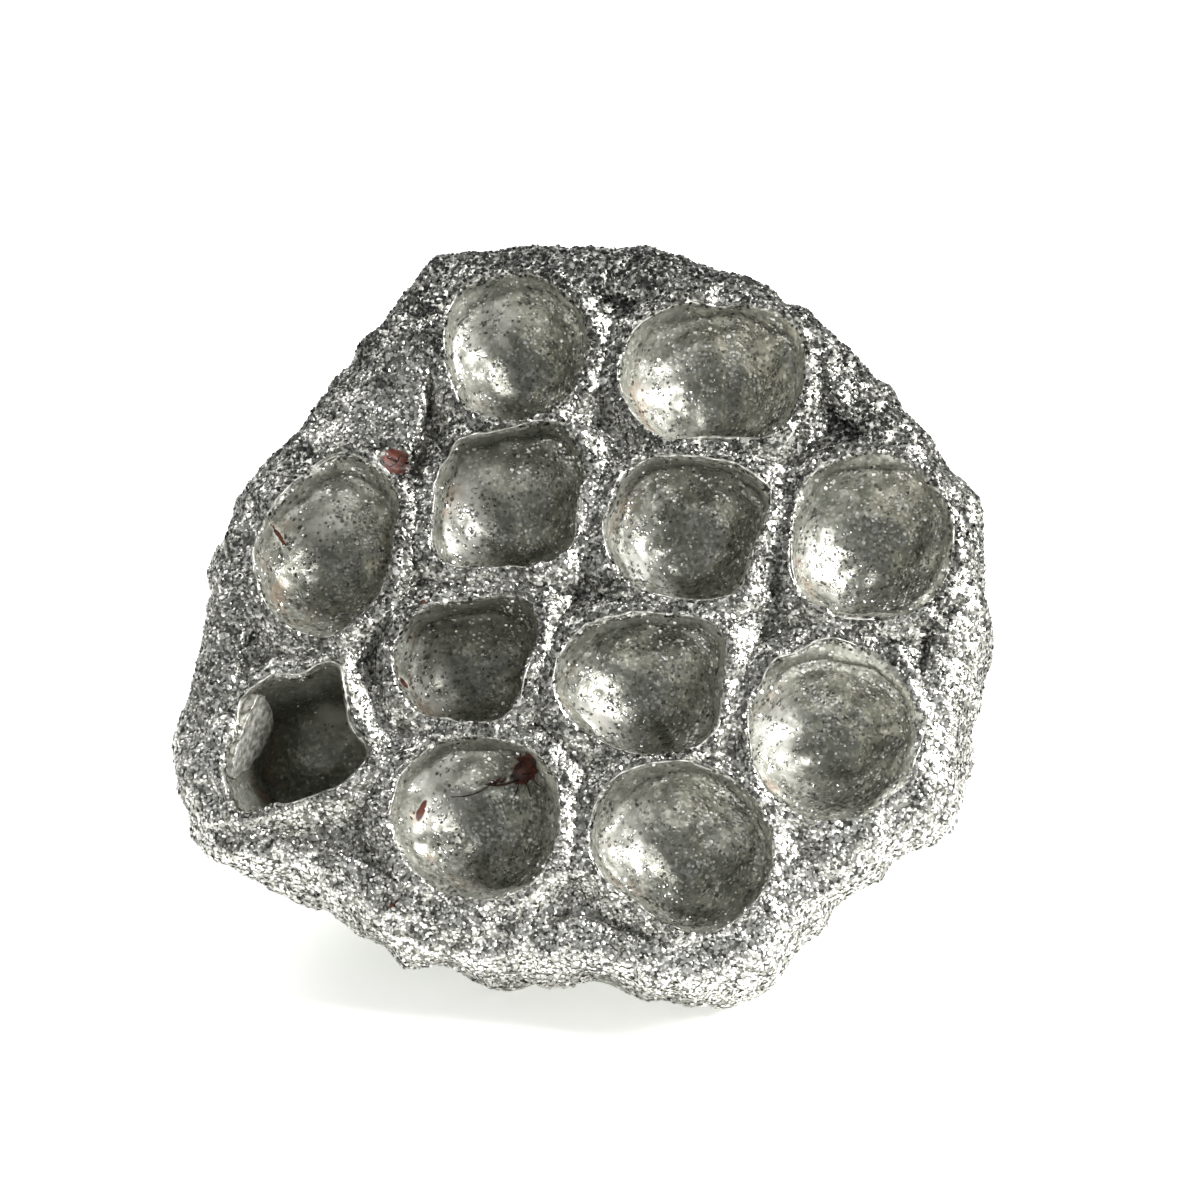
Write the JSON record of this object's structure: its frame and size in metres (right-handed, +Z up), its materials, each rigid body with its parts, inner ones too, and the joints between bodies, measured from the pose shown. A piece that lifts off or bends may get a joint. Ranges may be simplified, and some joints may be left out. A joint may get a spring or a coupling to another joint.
{
  "type": "dried lotus pod",
  "caption": "Dried lotus seed pod for dried-flower decoration: a lobed, funnel-shaped body with open seed sockets across its face and a short stub of stem.",
  "frame": {"origin": "centre of the pod's bounding box, at the level of the surface that it lies on", "axes": "+Z is up. +X runs along the pod's widest direction, to the right for someone who looks into its face. The face looks towards -Y and up, and the stem points towards +Y and down."},
  "size_m": [0.079, 0.0654, 0.0646],
  "materials": {
    "silver_paint": "dry, fibrous pod tissue under silver craft paint, with coarse silver glitter on the face and rim"
  },
  "bodies": {
    "root": {"lotus_pod": "silver_paint"}
  },
  "joints": []
}
